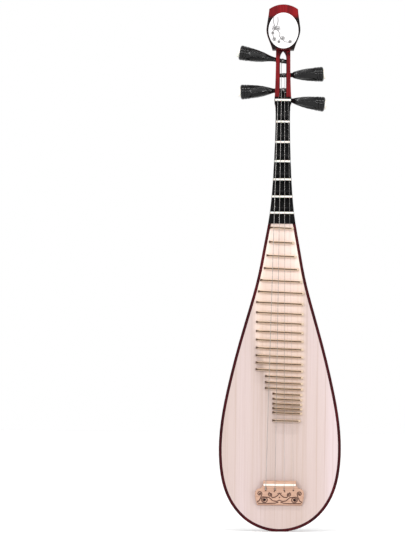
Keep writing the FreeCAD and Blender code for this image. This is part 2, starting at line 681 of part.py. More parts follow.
def make_bridge():
    """Bridge glued over the sound hole, and the bone saddle strip across it."""
    surface = [V(0, y, z) for z, y in BRIDGE_SURFACE]
    path = [surface[-1], V(0, BRIDGE_FRONT_Y, BRIDGE_BOTTOM), V(0, 0, BRIDGE_BOTTOM), V(0, 0, BRIDGE_TOP),
            V(0, BRIDGE_BACK_Y, BRIDGE_TOP), surface[0]]
    side = Part.Wire([spline(surface)] + [Part.makeLine(a, b) for a, b in zip(path[:-1], path[1:])])
    side.translate(V(-REACH, 0, 0))
    bridge = prism(bridge_outline(), V(0, -REACH, 0)).common(prism(side, V(2 * REACH, 0, 0)))
    half = SADDLE_THICKNESS / 2
    seat = Part.makeBox(2 * SADDLE_HALF, REACH, SADDLE_THICKNESS,
                        V(-SADDLE_HALF, SADDLE_SEAT_Y - REACH, SADDLE_Z - half))
    channel_length = SOUND_HOLE_Z + SOUND_HOLE_RADIUS - CHANNEL_END_Z
    channel = Part.makeBox(2 * SOUND_HOLE_RADIUS, CHANNEL_DEPTH, channel_length,
                           V(-SOUND_HOLE_RADIUS, -CHANNEL_DEPTH, CHANNEL_END_Z))
    bridge = bridge.cut([seat, channel])
    for number in (1, 2, 3, 4):
        hole = Part.makeCylinder(ANCHOR_RADIUS, REACH, V(string_end_x(number, SADDLE_SPACING), ANCHOR_DEPTH_Y,
                                                         ANCHOR_Z), V(0, -1, 0))
        bridge = bridge.cut(hole)
    for x in (-DOT_X, DOT_X):
        depth = smooth_value(sorted(BRIDGE_SURFACE), DOT_Z) + DOT_DEPTH
        bridge = bridge.cut(Part.makeCylinder(DOT_RADIUS, REACH, V(x, depth, DOT_Z), V(0, -1, 0)))
    keep("bridge", bridge.cut(string_grooves()))
    heel = SADDLE_FRONT_Y + 1.2
    points = [V(0, SADDLE_SEAT_Y, SADDLE_Z + half), V(0, SADDLE_SEAT_Y, SADDLE_Z - half),
              V(0, heel, SADDLE_Z - half), V(0, heel, SADDLE_Z + half)]
    strip = Part.Wire([Part.makeLine(points[0], points[1]), Part.makeLine(points[1], points[2]),
                       Part.Arc(points[2], V(0, SADDLE_FRONT_Y, SADDLE_Z), points[3]).toShape(),
                       Part.makeLine(points[3], points[0])])
    strip.translate(V(-SADDLE_HALF, 0, 0))
    keep("bridge_saddle", prism(strip, V(2 * SADDLE_HALF, 0, 0)).cut(string_grooves()))


make_body()
make_xiangs()
make_pins()
make_peg_box()
make_head()
make_nut()
make_bridge()
for peg_name in PEGS:
    make_peg(peg_name)
    make_winding(peg_name)
make_strings()

os.makedirs("parts", exist_ok=True)
for node, shape in solids.items():
    shape.exportStep("parts/%s.step" % node)
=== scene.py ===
"""Looks of the pipa: woods, ebony, bone, bamboo, strings, carved bridge, engraved plate and pegs."""
import bpy
import json
import math
import numpy as np
from mathutils import Matrix, Vector


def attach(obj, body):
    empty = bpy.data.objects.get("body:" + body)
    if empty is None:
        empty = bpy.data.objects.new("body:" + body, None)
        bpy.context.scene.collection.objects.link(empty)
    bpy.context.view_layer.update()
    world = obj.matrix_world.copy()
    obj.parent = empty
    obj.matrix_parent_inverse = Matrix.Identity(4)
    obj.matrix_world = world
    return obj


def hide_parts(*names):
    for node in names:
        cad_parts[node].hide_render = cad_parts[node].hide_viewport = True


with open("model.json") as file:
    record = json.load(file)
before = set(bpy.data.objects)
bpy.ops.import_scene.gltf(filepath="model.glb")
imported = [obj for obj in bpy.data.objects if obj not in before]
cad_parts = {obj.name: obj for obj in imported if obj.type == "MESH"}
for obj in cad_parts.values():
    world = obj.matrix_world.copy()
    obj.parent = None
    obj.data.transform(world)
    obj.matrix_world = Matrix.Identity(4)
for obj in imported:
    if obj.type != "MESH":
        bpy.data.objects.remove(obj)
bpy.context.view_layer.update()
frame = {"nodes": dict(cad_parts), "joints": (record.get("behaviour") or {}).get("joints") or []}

MM = 0.001
ROOT = "instrument"

# Strings: diameter by number, string 1 thinnest and on the right
STRINGS = {1: 0.35, 2: 0.6, 3: 0.8, 4: 1.05}
# Where the strings cross the nut and the saddle, and where they start in the bridge
NUT_Z = 834.5
SADDLE_Z = 90.7
NUT_STRING_Y = -19.9
SADDLE_STRING_Y = -18.4
NUT_SPACING = 6.6
SADDLE_SPACING = 17.8
ANCHOR_Z = 80.0
ANCHOR_END_Y = -8.0
MOUTH_Y = -15.6
MOUTH_RISE = 0.6
# Top of the peg box's lower part, where a string to the lowest peg lies, and the depths that it passes
BOX_FLAT_TOP = 841.0
OVER_BLOCK_Y = (-4.2, 0.4)
# How far from the centre plane each string meets its peg
ARRIVE = {1: 2.5, 2: 3.3, 3: 3.3, 4: 2.5}
# Clearance of a lying string, of a string's run from its peg, and of the run's end from the turns
LYING_GAP = 0.05
PEG_STRING_GAP = 0.3
WINDING_GAP = 0.45
WINDING_TURNS = 4
WINDING_STEPS = 28
KNOT_TURNS = 3.5
KNOT_STEPS = 16
BEND_RADIUS = 1.6

# Pegs, measured along the axis from the centre plane outwards
PEG_REACH = {1: 85.6, 2: 82.4, 3: 90.1, 4: 86.2}
SHAFT_RADIUS = 4.3
SHAFT_AT = 15.0
SHAFT_TAPER = 1 / 60
SHAFT_NECK = 18.0
SHAFT_TIP = -14.0
HANDLE = [(62, 6.2), (56, 8.0), (49, 9.8), (41, 11.4), (34, 12.5), (24, 13.5), (14, 14.1), (8, 14.4),
          (5.6, 13.7), (4.2, 11.6)]
# Flutes: their deepest cut, and the most of the radius that it takes; fades are from the handle's end
FLUTES = 8
FLUTE_DEPTH = 1.3
FLUTE_SHARE = 0.16
FLUTE_TWIST = math.radians(24)
FLUTE_OUTER_FADE = (19, 27)
FLUTE_INNER_FADE = (50, 63)
RING_PLACES = (11.5, 16.5)
RING_DEPTH = 0.75
RING_WIDTH = 0.55

# Bridge: its front surface (height, depth), and its half width against height
BRIDGE_SURFACE = [(51, -4.6), (53, -6.2), (63, -8.4), (76, -12.2), (88.6, -16.0), (96.8, -14.5),
                  (98.6, -13.0)]
BRIDGE_HALF = [(51, 43.2), (60, 45.7), (70, 47.2), (78, 46.4), (82.5, 42.2), (84.5, 36), (91, 32.3),
               (98.6, 31.5)]
BRIDGE_ROUNDING = 2.4
BRIDGE_ROUND_DEPTH = 1.6
CARVING_DEPTH = 0.7
HOLE_DEPTH = 2.2
# Dark plug, and small pits among the scrolls: distance from the middle, height, radius
DOT = (28.5, 61.9, 1.9)
CARVED_PITS = [(38.4, 73.3, 1.9), (17.6, 72.4, 1.8), (10.2, 77.6, 1.6), (3.0, 74.5, 1.4),
               (42.2, 58.2, 1.5), (0, 66.5, 1.8)]

# Head plate
PLATE_HALF = (28.9, 34.5)
PLATE_CENTRE_Z = 969.4
PLATE_FRONT_Y = 5.0
PLATE_BACK_Y = 8.5
PLATE_DOME = 0.9
ENGRAVING_DEPTH = 0.3

# Where the head's painted shade fades in and out, in metres: beside the plate, on the chin, along the slot
# and on the lower corners
PLATE_SHADE_DEPTH = (0.0098, 0.0112)
PLATE_SHADE_FOOT = (0.93, 0.937)
PLATE_SHADE_TOP = (0.9925, 1.0)
CHIN_FOOT = (0.915, 0.925)
CHIN_TOP = (0.936, 0.942)
CHIN_DEPTH = (0.0205, 0.0225)
SLOT_EDGE = (0.0062, 0.0078)
SLOT_TOP = (0.929, 0.933)
EAR_SIDE = (0.0142, 0.0152)
EAR_FOOT = (0.925, 0.929)

# Specular level of the satin wood, the neck's ebony, the polished pegs and the bone
WOOD_SHINE = 0.08
EBONY_SHINE = 0.06
PEG_SHINE = 0.24
BONE_SHINE = 0.35

# Painted light between the frets on the soundboard, against the shade the frets cast: how much, and where
# that fades out, in metres
FRET_GAP_PAINTED_LIGHT = (1.62, 1.66, 1.62, 1)
PALE_LEFT = (-0.056, -0.044)
PALE_RIGHT = (0.036, 0.05)
PALE_FOOT = (0.215, 0.245)
STEP_SLANT = 0.34
STEP_EDGE = (0.070, 0.082)
BRIGHT_RIGHT = (-0.02, 0.1)

# Camera: the height that the picture takes in, the aim and the picture's slight lean
VIEW_HEIGHT = 1.0442
CAMERA_DISTANCE = 15.0
CAMERA_X = -0.1526
CAMERA_Z = 0.5047
LEAN = 0.00884

# Two soft suns from the front, low and to each side, and two narrow strip lights above the front
SUNS = [("key", (0.62, 1.0, -0.30), 0.95), ("fill", (-0.75, 1.0, -0.24), 0.6)]
STRIPS = [("strip_high", (0.0, -1.7, 3.2), 44.0), ("strip_front", (0.0, -4.4, 1.9), 36.0)]
STRIP_SIZE = (3.0, 0.14)
STRIP_AIM = (0.0, 0.0, 0.87)
SUN_WIDTH = math.radians(12)
FLOOR_HALF = 9


def paint(red, green, blue):
    """Linear colour from 0-255 display values."""
    def linear(value):
        value = value / 255
        return value / 12.92 if value <= 0.04045 else ((value + 0.055) / 1.055) ** 2.4
    return (linear(red), linear(green), linear(blue), 1.0)


def smooth_value(table, at):
    """Smooth curve through (place, value) pairs, read at one place."""
    last = len(table) - 1
    index = 0
    while index < last - 1 and at > table[index + 1][0]:
        index += 1

    def slope(i):
        low, high = max(i - 1, 0), min(i + 1, last)
        return (table[high][1] - table[low][1]) / (table[high][0] - table[low][0])

    (x0, y0), (x1, y1) = table[index], table[index + 1]
    width = x1 - x0
    t = (at - x0) / width
    start = (2 * t ** 3 - 3 * t ** 2 + 1) * y0 + (t ** 3 - 2 * t ** 2 + t) * width * slope(index)
    end = (3 * t ** 2 - 2 * t ** 3) * y1 + (t ** 3 - t ** 2) * width * slope(index + 1)
    return start + end


# ---------------------------------------------------------------- materials

class Shader:
    """A node material being put together."""

    def __init__(self, name, roughness, specular):
        self.material = bpy.data.materials.new(name)
        self.material.use_nodes = True
        self.tree = self.material.node_tree
        self.bsdf = self.tree.nodes["Principled BSDF"]
        self.bsdf.inputs["Roughness"].default_value = roughness
        self.bsdf.inputs["Specular IOR Level"].default_value = specular
        self.place = self.add("ShaderNodeTexCoord").outputs["Object"]

    def add(self, kind, **values):
        node = self.tree.nodes.new(kind)
        for key, value in values.items():
            setattr(node, key, value)
        return node

    def link(self, source, target):
        self.tree.links.new(source, target)

    def stretched(self, scale):
        """Object coordinates scaled along each axis."""
        node = self.add("ShaderNodeMapping")
        node.inputs["Scale"].default_value = scale
        self.link(self.place, node.inputs["Vector"])
        return node.outputs["Vector"]

    def noise(self, vector, scale, detail=4, roughness=0.55, distortion=0):
        node = self.add("ShaderNodeTexNoise")
        node.inputs["Scale"].default_value = scale
        node.inputs["Detail"].default_value = detail
        node.inputs["Roughness"].default_value = roughness
        node.inputs["Distortion"].default_value = distortion
        self.link(vector, node.inputs["Vector"])
        return node.outputs["Fac"]

    def wave(self, vector, scale, distortion, detail, detail_scale):
        """Bands that follow one another along the instrument."""
        node = self.add("ShaderNodeTexWave", wave_type="BANDS", bands_direction="Z")
        node.inputs["Scale"].default_value = scale
        node.inputs["Distortion"].default_value = distortion
        node.inputs["Detail"].default_value = detail
        node.inputs["Detail Scale"].default_value = detail_scale
        self.link(vector, node.inputs["Vector"])
        return node.outputs["Fac"]

    def ramp(self, factor, stops):
        node = self.add("ShaderNodeValToRGB")
        elements = node.color_ramp.elements
        while len(elements) < len(stops):
            elements.new(0.5)
        for element, (position, colour) in zip(elements, stops):
            element.position = position
            element.color = colour
        self.link(factor, node.inputs["Fac"])
        return node.outputs["Color"]

    def mix(self, factor, first, second, blend="MIX"):
        """Mix of two colours; factor is a number or a socket."""
        node = self.add("ShaderNodeMix", data_type="RGBA", blend_type=blend)
        if isinstance(factor, (int, float)):
            node.inputs[0].default_value = factor
        else:
            self.link(factor, node.inputs[0])
        for socket, value in ((node.inputs[6], first), (node.inputs[7], second)):
            if isinstance(value, tuple):
                socket.default_value = value
            else:
                self.link(value, socket)
        return node.outputs[2]

    def spread(self, factor, low, high, start=0.0, end=1.0):
        """Map a 0-1 value onto a range."""
        node = self.add("ShaderNodeMapRange")
        for name, value in (("From Min", start), ("From Max", end), ("To Min", low), ("To Max", high)):
            node.inputs[name].default_value = value
        self.link(factor, node.inputs["Value"])
        return node.outputs["Result"]

    def product(self, first, second):
        node = self.add("ShaderNodeMath", operation="MULTIPLY")
        self.link(first, node.inputs[0])
        self.link(second, node.inputs[1])
        return node.outputs[0]

    def attribute(self, name):
        return self.add("ShaderNodeAttribute", attribute_name=name).outputs["Fac"]

    def colour(self, source):
        self.link(source, self.bsdf.inputs["Base Color"])

    def rough(self, source):
        self.link(source, self.bsdf.inputs["Roughness"])

    def bump(self, height, strength, distance):
        node = self.add("ShaderNodeBump")
        node.inputs["Strength"].default_value = strength
        node.inputs["Distance"].default_value = distance
        self.link(height, node.inputs["Height"])
        self.link(node.outputs["Normal"], self.bsdf.inputs["Normal"])


def timber(shader, dark, middle, light):
    """Streaks, broad bands and open pores of a dense timber, grain along the instrument."""
    streaks = shader.noise(shader.stretched((150, 110, 3.4)), 1.0, 6, 0.62, 0.5)
    broad = shader.noise(shader.stretched((24, 20, 1.6)), 1.0, 4, 0.55, 0.8)
    pores = shader.noise(shader.stretched((1100, 1100, 30)), 1.0, 3, 0.6)
    base = shader.ramp(streaks, [(0.32, dark), (0.5, middle), (0.7, light)])
    toned = shader.mix(shader.spread(broad, 0.0, 0.5, 0.4, 0.68), base, dark)
    pored = shader.ramp(pores, [(0.36, (0.5, 0.46, 0.46, 1)), (0.5, (1, 1, 1, 1))])
    shader.rough(shader.spread(pores, 0.5, 0.36, 0.3, 0.7))
    shader.bump(pores, 0.12, 0.0002)
    return shader.mix(0.5, toned, pored, "MULTIPLY")


def hardwood(name, dark, middle, light):
    """Satin-finished timber with its grain along the instrument."""
    shader = Shader(name, 0.42, WOOD_SHINE)
    shader.colour(timber(shader, dark, middle, light))
    return shader.material


def head_wood(name, dark, middle, light, painted_shade_colour):
    """Red timber with painted shade beside the oval plate, on the head's lower corners and on its chin, and
    darker along the slot's edges: painted shade with the peg box's darker stain.
    """
    shader = Shader(name, 0.38, WOOD_SHINE)
    wood = timber(shader, dark, middle, light)
    place = shader.add("ShaderNodeSeparateXYZ")
    shader.link(shader.place, place.inputs[0])
    depth, height = place.outputs["Y"], place.outputs["Z"]
    # Painted shade: the front beside the oval plate is darkened where the head's face steps back
    front = shader.spread(depth, 1.0, 0.0, *PLATE_SHADE_DEPTH)
    beside = shader.product(shader.spread(height, 1.0, 0.0, *PLATE_SHADE_TOP),
                            shader.spread(height, 0.0, 1.0, *PLATE_SHADE_FOOT))
    # Painted shade on the chin: a dark mottle standing in for the shade in its carving
    mottle = shader.noise(shader.stretched((420, 420, 420)), 1.0, 2)
    chin = shader.product(shader.spread(height, 0.0, 1.0, *CHIN_FOOT),
                          shader.spread(height, 1.0, 0.0, *CHIN_TOP))
    facing = shader.spread(depth, 1.0, 0.0, *CHIN_DEPTH)
    carved = shader.product(facing, shader.product(chin, shader.spread(mottle, 0.0, 0.85, 0.45, 0.6)))
    # Darker along the slot's inner edges: painted shade, together with the peg box's darker stained inside
    across = shader.add("ShaderNodeMath", operation="ABSOLUTE")
    shader.link(place.outputs["X"], across.inputs[0])
    slot = shader.product(shader.spread(across.outputs[0], 0.8, 0.0, *SLOT_EDGE),
                          shader.spread(height, 1.0, 0.0, *SLOT_TOP))
    # Painted shade on the head's lower corners, on the front
    ear = shader.product(shader.spread(across.outputs[0], 0.0, 1.0, *EAR_SIDE),
                         shader.product(shader.spread(height, 0.0, 1.0, *EAR_FOOT),
                                        shader.spread(height, 1.0, 0.0, *CHIN_TOP)))
    front_ear = shader.product(ear, facing)
    plate_shaded = shader.mix(shader.product(front, beside), wood, painted_shade_colour)
    edged = shader.mix(front_ear, shader.mix(slot, plate_shaded, painted_shade_colour), painted_shade_colour)
    shader.colour(shader.mix(carved, edged, painted_shade_colour))
    return shader.material


def soundboard_wood():
    """Bare paulownia: pale, fine straight grain, faint broad bands and a dry surface."""
    shader = Shader("paulownia", 0.62, 0.1)
    lines = shader.noise(shader.stretched((260, 260, 1.6)), 1.0, 4, 0.6, 0.15)
    fine = shader.noise(shader.stretched((1500, 1500, 18)), 1.0, 3, 0.6)
    bands = shader.noise(shader.stretched((15, 15, 0.8)), 1.0, 3, 0.5, 0.3)
    base = shader.ramp(bands, [(0.3, paint(170, 153, 145)), (0.5, paint(177, 161, 157)),
                               (0.7, paint(185, 170, 171))])
    grained = shader.mix(shader.spread(lines, 0.0, 0.42, 0.5, 0.72), base, paint(154, 133, 119))
    fibre = shader.ramp(fine, [(0.3, (0.9, 0.87, 0.85, 1)), (0.6, (1, 1, 1, 1))])
    plain = shader.mix(0.5, grained, fibre, "MULTIPLY")
    place = shader.add("ShaderNodeSeparateXYZ")
    shader.link(shader.place, place.inputs[0])
    across, up = place.outputs["X"], place.outputs["Z"]
    slant = shader.add("ShaderNodeMath", operation="MULTIPLY_ADD")
    shader.link(up, slant.inputs[0])
    slant.inputs[1].default_value = STEP_SLANT
    shader.link(across, slant.inputs[2])
    # Painted light: the board is lifted between the frets, against the shade that they cast
    sides = shader.product(shader.spread(slant.outputs[0], 0.0, 1.0, *STEP_EDGE),
                           shader.spread(across, 1.0, 0.0, *PALE_RIGHT))
    edges = shader.product(shader.spread(across, 0.0, 1.0, *PALE_LEFT),
                           shader.spread(up, 0.0, 1.0, *PALE_FOOT))
    fret_gap_light = shader.product(sides, edges)
    lifted = shader.mix(fret_gap_light, plain, FRET_GAP_PAINTED_LIGHT, "MULTIPLY")
    right = shader.spread(across, 0.0, 0.35, *BRIGHT_RIGHT)
    shader.colour(shader.mix(right, lifted, (1.1, 1.1, 1.12, 1), "MULTIPLY"))
    shader.rough(shader.spread(fine, 0.7, 0.55))
    shader.bump(fine, 0.1, 0.0002)
    return shader.material


def ebony():
    """Polished black ebony with faint brown streaks."""
    shader = Shader("ebony", 0.34, EBONY_SHINE)
    streaks = shader.noise(shader.stretched((240, 240, 16)), 1.0, 4, 0.6, 0.4)
    pores = shader.noise(shader.stretched((1400, 1400, 70)), 1.0, 2)
    shader.colour(shader.ramp(streaks, [(0.35, paint(7, 7, 8)), (0.6, paint(10, 10, 10)),
                                        (0.8, paint(21, 19, 17))]))
    shader.rough(shader.spread(pores, 0.42, 0.28))
    shader.bump(pores, 0.08, 0.0001)
    return shader.material


def peg_ebony():
    """Ebony with its grain along the peg; the carved flutes are a little duller than the ridges and carry
    painted shade, a darker colour deep in each flute.
    """
    shader = Shader("peg_ebony", 0.24, PEG_SHINE)
    streaks = shader.noise(shader.stretched((22, 260, 260)), 1.0, 4, 0.6, 0.4)
    groove = shader.attribute("groove")
    base = shader.ramp(streaks, [(0.35, paint(8, 8, 9)), (0.6, paint(12, 12, 12)), (0.85, paint(24, 22, 21))])
    # Painted shade: darker deep in the flutes
    shader.colour(shader.mix(shader.spread(groove, 0.0, 0.85), base, paint(4, 4, 5)))
    shader.rough(shader.spread(groove, 0.16, 0.45))
    shader.bump(streaks, 0.06, 0.0001)
    return shader.material


def bone():
    """Polished bone: warm white with faint cloudy tone and fine pores."""
    shader = Shader("bone", 0.3, BONE_SHINE)
    cloud = shader.noise(shader.stretched((120, 120, 120)), 1.0, 3)
    specks = shader.noise(shader.stretched((2200, 2200, 900)), 1.0, 2)
    base = shader.ramp(cloud, [(0.3, paint(206, 202, 192)), (0.7, paint(220, 217, 210))])
    marks = shader.ramp(specks, [(0.28, (0.86, 0.82, 0.76, 1)), (0.36, (1, 1, 1, 1))])
    shader.colour(shader.mix(0.5, base, marks, "MULTIPLY"))
    shader.rough(shader.spread(cloud, 0.24, 0.38))
    shader.bump(specks, 0.04, 0.0001)
    shader.bsdf.inputs["Subsurface Weight"].default_value = 0.1
    shader.bsdf.inputs["Subsurface Scale"].default_value = 0.002
    return shader.material


def plate_bone():
    """White plate whose engraved lines hold a grey rubbed-in tone."""
    shader = Shader("engraved_plate", 0.28, BONE_SHINE)
    cloud = shader.noise(shader.stretched((70, 70, 70)), 1.0, 4, 0.5, 0.6)
    base = shader.ramp(cloud, [(0.3, paint(200, 199, 199)), (0.7, paint(212, 210, 211))])
    shader.colour(shader.mix(shader.attribute("engraved"), base, paint(84, 82, 82)))
    shader.rough(shader.spread(cloud, 0.22, 0.34))
    shader.bump(cloud, 0.03, 0.0002)
    return shader.material


def bamboo(name, dark, light, fibre):
    """Smoothed bamboo with fibres along each bar."""
    shader = Shader(name, 0.42, 0.2)
    fibres = shader.noise(shader.stretched((26, 2600, 2600)), 1.0, 3, 0.6)
    tone = shader.noise(shader.stretched((9, 60, 60)), 1.0, 2)
    base = shader.ramp(tone, [(0.3, dark), (0.7, light)])
    lines = shader.ramp(fibres, [(0.35, fibre), (0.5, (1, 1, 1, 1))])
    shader.colour(shader.mix(0.4, base, lines, "MULTIPLY"))
    shader.rough(shader.spread(fibres, 0.5, 0.36))
    shader.bump(fibres, 0.12, 0.0001)
    return shader.material


def bridge_wood():
    """Oiled tan hardwood, with painted shade in its carved lines, pits, string holes and round its plugs."""
    shader = Shader("bridge_wood", 0.45, 0.2)
    figure = shader.wave(shader.stretched((0.12, 1, 1)), 130, 5, 4, 1.4)
    fine = shader.noise(shader.stretched((30, 1400, 1400)), 1.0, 3)
    base = shader.ramp(figure, [(0.0, paint(156, 118, 98)), (0.6, paint(176, 142, 122)),
                                (1.0, paint(190, 158, 140))])
    pores = shader.ramp(fine, [(0.35, (0.7, 0.64, 0.6, 1)), (0.5, (1, 1, 1, 1))])
    grained = shader.mix(0.5, base, pores, "MULTIPLY")
    # Painted shade in the carved lines, pits, string holes and round the plugs
    shader.colour(shader.mix(shader.attribute("carved"), grained, paint(52, 24, 18)))
    shader.rough(shader.spread(fine, 0.55, 0.4))
    shader.bump(fine, 0.1, 0.0001)
    return shader.material


def string_metal(name, turns_per_metre):
    """Fine metal winding: bright ridges round the string."""
    shader = Shader(name, 0.34, 0.3)
    turns = shader.wave(shader.stretched((1, 1, 1)), turns_per_metre, 0.2, 1, 1.0)
    tone = shader.noise(shader.stretched((60, 60, 30)), 1.0, 2)
    shader.colour(shader.ramp(tone, [(0.3, paint(128, 126, 124)), (0.7, paint(158, 155, 152))]))
    shader.bsdf.inputs["Metallic"].default_value = 0.85
    shader.rough(shader.spread(turns, 0.42, 0.28))
    shader.bump(turns, 0.2, 0.0001)
    return shader.material


# ---------------------------------------------------------------- mesh helpers

def new_piece(name, points, faces, material, body):
    """Mesh piece from points in metres, riding on a body."""
    mesh = bpy.data.meshes.new(name)
    mesh.from_pydata([tuple(p) for p in points], [], faces)
    mesh.validate()
    mesh.update()
    for polygon in mesh.polygons:
        polygon.use_smooth = True
    mesh.materials.append(material)
    piece = bpy.data.objects.new(name, mesh)
    bpy.context.scene.collection.objects.link(piece)
    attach(piece, body)
    return piece


def point_values(piece, name, values):
    """Store one number per point for the material to read."""
    layer = piece.data.attributes.new(name, "FLOAT", "POINT")
    layer.data.foreach_set("value", np.asarray(values, np.float32))


def split_sharp(piece, degrees):
    """Keep edges crisp above an angle and smooth below it."""
    split = piece.modifiers.new("sharp_edges", "EDGE_SPLIT")
    split.split_angle = math.radians(degrees)


def dress(name, material, bevel=0):
    """Give a CAD node its material, smooth shading and softened edges."""
    node = frame["nodes"][name]
    node.data.materials.clear()
    node.data.materials.append(material)
    custom = node.data.attributes.get("custom_normal")
    if custom:
        node.data.attributes.remove(custom)
    for polygon in node.data.polygons:
        polygon.use_smooth = True
        polygon.material_index = 0
    weld = node.modifiers.new("weld", "WELD")
    weld.merge_threshold = 0.00001
    if bevel:
        flat = node.modifiers.new("flatten", "DECIMATE")
        flat.decimate_type = "DISSOLVE"
        flat.angle_limit = math.radians(1.5)
        soft = node.modifiers.new("soft_edges", "BEVEL")
        soft.width = bevel * MM
        soft.segments = 3
        soft.limit_method = "ANGLE"
        soft.angle_limit = math.radians(32)
        soft.use_clamp_overlap = True
    split_sharp(node, 38)
    return node


def skin_crest(node, material):
    """Bamboo keeps its darker skin on the crest under the strings; the faces at each bar's left end take the
    same darker colour.
    """
    node.data.materials.append(material)
    for polygon in node.data.polygons:
        if polygon.normal.y < -0.97 or polygon.normal.x < -0.5:
            polygon.material_index = 1


def grid_faces(rows, columns, wrap=False):
    """Faces of a grid of points, row by row; wrap joins the last column to the first."""
    faces = []
    for i in range(rows - 1):
        for j in range(columns if wrap else columns - 1):
            k = (j + 1) % columns
            faces.append((i * columns + j, i * columns + k, (i + 1) * columns + k, (i + 1) * columns + j))
    return faces


def rounded_route(points, radius):
    """Replace each corner of a route with a short curve."""
    route = [points[0]]
    for before, corner, after in zip(points[:-2], points[1:-1], points[2:]):
        reach = min(radius, (before - corner).length * 0.45, (after - corner).length * 0.45)
        start = corner + (before - corner).normalized() * reach
        end = corner + (after - corner).normalized() * reach
        for step in range(7):
            t = step / 6
            route.append(start * (1 - t) ** 2 + corner * 2 * t * (1 - t) + end * t ** 2)
    route.append(points[-1])
    return route


def tube(name, route, radius, material, body, sides):
    """Round tube along a route, with closed ends."""
    points = []
    normal = None
    last = len(route) - 1
    for index, place in enumerate(route):
        along = (route[min(index + 1, last)] - route[max(index - 1, 0)]).normalized()
        if normal is None:
            normal = along.cross(Vector((0.3, 1, 0.2))).normalized()
        normal = (normal - along * normal.dot(along)).normalized()
        other = along.cross(normal)
        for side in range(sides):
            turn = 2 * math.pi * side / sides
            offset = (normal * math.cos(turn) + other * math.sin(turn)) * radius
            points.append((place + offset) * MM)
    faces = grid_faces(len(route), sides, True)
    faces.append(tuple(range(sides - 1, -1, -1)))
    faces.append(tuple(last * sides + side for side in range(sides)))
    return new_piece(name, points, faces, material, body)


def distance_to_path(x, z, path):
    """Distance from every grid point to a polyline."""
    best = np.full(x.shape, 1e9)
    for (x0, z0), (x1, z1) in zip(path[:-1], path[1:]):
        run = (x1 - x0, z1 - z0)
        square = run[0] ** 2 + run[1] ** 2
        t = np.clip(((x - x0) * run[0] + (z - z0) * run[1]) / square, 0, 1)
        best = np.minimum(best, np.hypot(x - x0 - t * run[0], z - z0 - t * run[1]))
    return best


def soft_step(value, low, high):
    """0 below low, 1 above high, smooth between."""
    t = np.clip((value - low) / (high - low), 0, 1)
    return t * t * (3 - 2 * t)


# ---------------------------------------------------------------- pegs

def peg_basis(number):
    """Matrix that places a shape made along +X onto a peg's axis, in millimetres."""
    joint = next(j for j in frame["joints"] if j["child"] == "peg_%d" % number)
    along = Vector(joint["axis"]).normalized()
    side = Vector((0, 1, 0))
    up = along.cross(side)
    basis = Matrix((along, side, up)).transposed().to_4x4()
    return Matrix.Translation(Vector(joint["pos_m"]) / MM) @ basis


def shaft_radius(along):
    return SHAFT_RADIUS + (along - SHAFT_AT) * SHAFT_TAPER


def peg_radius(along, reach):
    """Radius of the whole peg before fluting."""
    if along <= SHAFT_NECK:
        return shaft_radius(along)
    table = [(SHAFT_NECK - 3, shaft_radius(SHAFT_NECK - 3)), (SHAFT_NECK, shaft_radius(SHAFT_NECK))]
    table += [(reach - place, radius) for place, radius in HANDLE]
    return smooth_value(table, along)


def ring_groove(from_end):
    """Depth of the two turned rings near the handle's end."""
    return sum(RING_DEPTH * math.exp(-((from_end - place) / RING_WIDTH) ** 2) for place in RING_PLACES)


def make_peg(number, material):
    """Peg with sharp-ridged, slightly twisted flutes that fade out towards both ends."""
    reach = PEG_REACH[number]
    basis = peg_basis(number)
    end = reach - HANDLE[-1][0]
    stations = [SHAFT_TIP, 0, SHAFT_NECK]
    stations += [SHAFT_NECK + (end - SHAFT_NECK) * step / 150 for step in range(1, 151)]
    columns = 96
    points, groove = [basis @ Vector((SHAFT_TIP, 0, 0)) * MM], [0]
    for along in stations:
        from_end = reach - along
        fade = soft_step(from_end, *FLUTE_OUTER_FADE) * (1 - soft_step(from_end, *FLUTE_INNER_FADE))
        twist = FLUTE_TWIST * (along - SHAFT_NECK) / (end - SHAFT_NECK)
        radius = peg_radius(along, reach) - (ring_groove(from_end) if along > SHAFT_NECK else 0)
        for column in range(columns):
            turn = 2 * math.pi * column / columns
            cut = abs(math.sin(FLUTES * (turn + twist) / 2)) ** 0.8 * fade
            depth = min(FLUTE_DEPTH, FLUTE_SHARE * radius) * cut
            place = Vector((along, (radius - depth) * math.cos(turn), (radius - depth) * math.sin(turn)))
            points.append(basis @ place * MM)
            groove.append(cut ** 3)
    rows = len(stations)
    faces = [tuple(index + 1 for index in face) for face in grid_faces(rows, columns, True)]
    faces += [(0, 1 + (column + 1) % columns, 1 + column) for column in range(columns)]
    faces.append(tuple(1 + (rows - 1) * columns + column for column in range(columns)))
    piece = new_piece("carved_peg_%d" % number, points, faces, material, "peg_%d" % number)
    point_values(piece, "groove", groove)
    split_sharp(piece, 50)
    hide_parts("peg_%d" % number)


def make_winding(number, material):
    """Helix of string round the peg, its end tucked into the shaft."""
    diameter = STRINGS[number]
    basis = peg_basis(number)
    start = (basis.inverted() @ string_route(number)[-1]).x - diameter / 2 - WINDING_GAP
    route = []
    steps = WINDING_TURNS * WINDING_STEPS
    for step in range(steps + 1):
        turn = 2 * math.pi * step / WINDING_STEPS
        along = start - diameter / 2 - (WINDING_TURNS - 1) * diameter * step / steps
        sink = diameter * 1.1 * soft_step(step, steps - 8, steps)
        radius = shaft_radius(along) + diameter / 2 + LYING_GAP - sink
        route.append(basis @ Vector((along, radius * math.cos(turn), radius * math.sin(turn))))
    piece = tube("turns_%d" % number, route, diameter / 2, material, "peg_%d" % number, 8)
    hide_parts("winding_%d" % number)


# ---------------------------------------------------------------- strings

